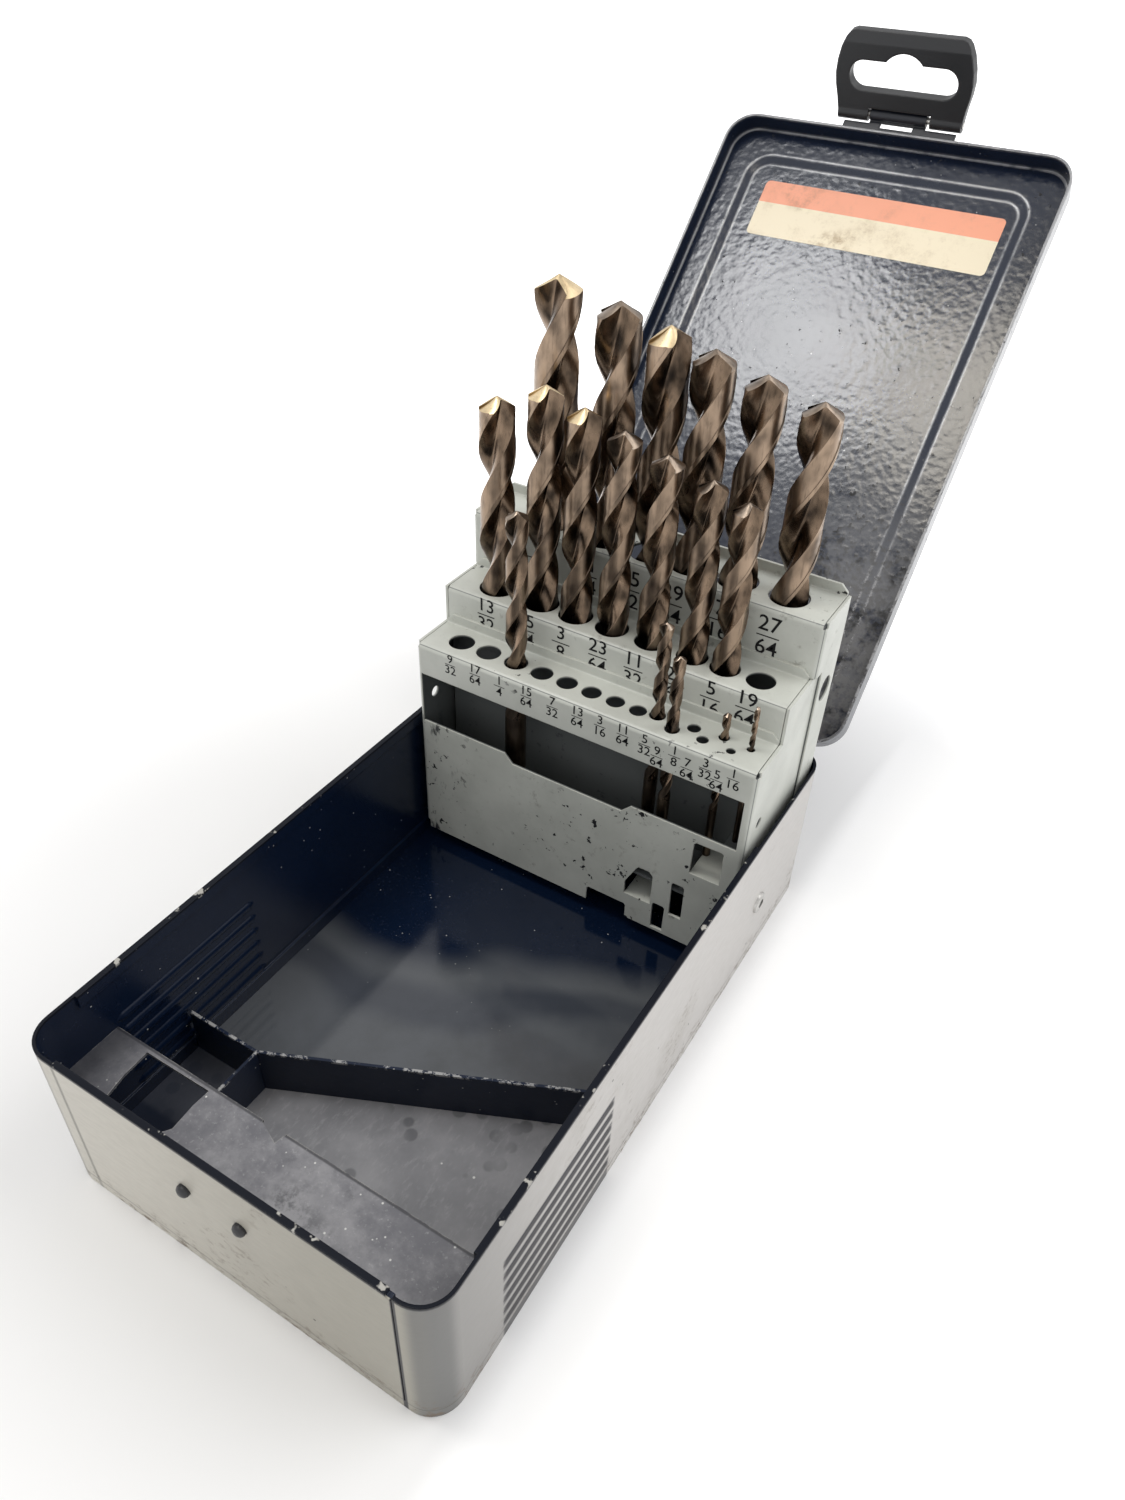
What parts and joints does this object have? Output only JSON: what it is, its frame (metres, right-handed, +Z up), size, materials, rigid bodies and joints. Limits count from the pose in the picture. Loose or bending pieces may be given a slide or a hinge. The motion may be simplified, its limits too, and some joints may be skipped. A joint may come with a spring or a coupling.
{
  "type": "drill bit case",
  "caption": "Sheet metal twist drill case with a hinged lid, a stepped rack that swings up with its drills, a divided tray and a folding plastic hanging hook.",
  "frame": {"origin": "middle of the tray's underside", "axes": "+X right along the front wall, +Y from the front wall to the lid hinge, +Z up"},
  "size_m": [0.1184, 0.3524, 0.22],
  "materials": {
    "tray_paint": "worn satin",
    "dark_paint": "gloss",
    "shelf_paint": "dusty matt",
    "rack_paint": "worn satin",
    "bare_steel": "dull",
    "stud_black": "satin",
    "hook_plastic": "moulded satin",
    "drill_steel": "bronze oxide"
  },
  "bodies": {
    "tray": {"tray_bottom_pan": "tray_paint", "tray_wall_wrap": "tray_paint", "tray_front_panel": "tray_paint", "latch_studs": "stud_black", "front_shelf": "shelf_paint", "tip_stop_strip": "dark_paint", "cross_divider": "dark_paint", "tray_hinge_leaf": "tray_paint", "lid_hinge_pin": "bare_steel", "rack_pivot_rivets": "bare_steel", "rack_spacer_washers": "bare_steel"},
    "lid": {"lid_pan": "dark_paint", "lid_hinge_leaf": "dark_paint", "lid_hook_tab": "dark_paint", "hook_hinge_pin": "bare_steel"},
    "hook": {"hanger_hook": "hook_plastic"},
    "rack": {"rack_front_bracket": "rack_paint", "rack_middle_bracket": "rack_paint", "rack_back_bracket": "rack_paint", "rack_floor_plate": "rack_paint", "rack_small_drill_ledge": "rack_paint"},
    "drill_1_2": {"drill_1_2": "drill_steel"},
    "drill_31_64": {"drill_31_64": "drill_steel"},
    "drill_15_32": {"drill_15_32": "drill_steel"},
    "drill_29_64": {"drill_29_64": "drill_steel"},
    "drill_7_16": {"drill_7_16": "drill_steel"},
    "drill_27_64": {"drill_27_64": "drill_steel"},
    "drill_13_32": {"drill_13_32": "drill_steel"},
    "drill_25_64": {"drill_25_64": "drill_steel"},
    "drill_3_8": {"drill_3_8": "drill_steel"},
    "drill_23_64": {"drill_23_64": "drill_steel"},
    "drill_11_32": {"drill_11_32": "drill_steel"},
    "drill_21_64": {"drill_21_64": "drill_steel"},
    "drill_5_16": {"drill_5_16": "drill_steel"},
    "drill_1_4": {"drill_1_4": "drill_steel"},
    "drill_5_32": {"drill_5_32": "drill_steel"},
    "drill_9_64": {"drill_9_64": "drill_steel"},
    "drill_3_32": {"drill_3_32": "drill_steel"},
    "drill_1_16": {"drill_1_16": "drill_steel"}
  },
  "joints": [
    {"name": "lid_hinge", "type": "hinge", "parent": "tray", "child": "lid", "pos_m": [0, 0.1024, 0.0486], "axis": [-1, 0, 0], "range_deg": [-135, 0]},
    {"name": "rack_pivot", "type": "hinge", "parent": "tray", "child": "rack", "pos_m": [0, 0.0592, 0.0223], "axis": [-1, 0, 0], "range_deg": [-93, 0]},
    {"name": "hook_hinge", "type": "hinge", "parent": "lid", "child": "hook", "pos_m": [-0.0011, 0.24898, 0.19532], "axis": [-1, 0, 0], "range_deg": [-38, 62]},
    {"name": "drill_1_2_lift", "type": "slide", "parent": "rack", "child": "drill_1_2", "axis": [0, 0, 1], "range_m": [0, 0.087]},
    {"name": "drill_31_64_lift", "type": "slide", "parent": "rack", "child": "drill_31_64", "axis": [0, 0, 1], "range_m": [0, 0.087]},
    {"name": "drill_15_32_lift", "type": "slide", "parent": "rack", "child": "drill_15_32", "axis": [0, 0, 1], "range_m": [0, 0.087]},
    {"name": "drill_29_64_lift", "type": "slide", "parent": "rack", "child": "drill_29_64", "axis": [0, 0, 1], "range_m": [0, 0.087]},
    {"name": "drill_7_16_lift", "type": "slide", "parent": "rack", "child": "drill_7_16", "axis": [0, 0, 1], "range_m": [0, 0.087]},
    {"name": "drill_27_64_lift", "type": "slide", "parent": "rack", "child": "drill_27_64", "axis": [0, 0, 1], "range_m": [0, 0.087]},
    {"name": "drill_13_32_lift", "type": "slide", "parent": "rack", "child": "drill_13_32", "axis": [0, 0, 1], "range_m": [0, 0.07]},
    {"name": "drill_25_64_lift", "type": "slide", "parent": "rack", "child": "drill_25_64", "axis": [0, 0, 1], "range_m": [0, 0.07]},
    {"name": "drill_3_8_lift", "type": "slide", "parent": "rack", "child": "drill_3_8", "axis": [0, 0, 1], "range_m": [0, 0.07]},
    {"name": "drill_23_64_lift", "type": "slide", "parent": "rack", "child": "drill_23_64", "axis": [0, 0, 1], "range_m": [0, 0.07]},
    {"name": "drill_11_32_lift", "type": "slide", "parent": "rack", "child": "drill_11_32", "axis": [0, 0, 1], "range_m": [0, 0.07]},
    {"name": "drill_21_64_lift", "type": "slide", "parent": "rack", "child": "drill_21_64", "axis": [0, 0, 1], "range_m": [0, 0.07]},
    {"name": "drill_5_16_lift", "type": "slide", "parent": "rack", "child": "drill_5_16", "axis": [0, 0, 1], "range_m": [0, 0.07]},
    {"name": "drill_1_4_lift", "type": "slide", "parent": "rack", "child": "drill_1_4", "axis": [0, 0, 1], "range_m": [0, 0.057]},
    {"name": "drill_5_32_lift", "type": "slide", "parent": "rack", "child": "drill_5_32", "axis": [0, 0, 1], "range_m": [0, 0.053]},
    {"name": "drill_9_64_lift", "type": "slide", "parent": "rack", "child": "drill_9_64", "axis": [0, 0, 1], "range_m": [0, 0.053]},
    {"name": "drill_3_32_lift", "type": "slide", "parent": "rack", "child": "drill_3_32", "axis": [0, 0, 1], "range_m": [0, 0.047]},
    {"name": "drill_1_16_lift", "type": "slide", "parent": "rack", "child": "drill_1_16", "axis": [0, 0, 1], "range_m": [0, 0.037]}
  ],
  "couplings": [
    {"joint": "rack_pivot", "follows": "lid_hinge", "ratio": 0.6888}
  ]
}
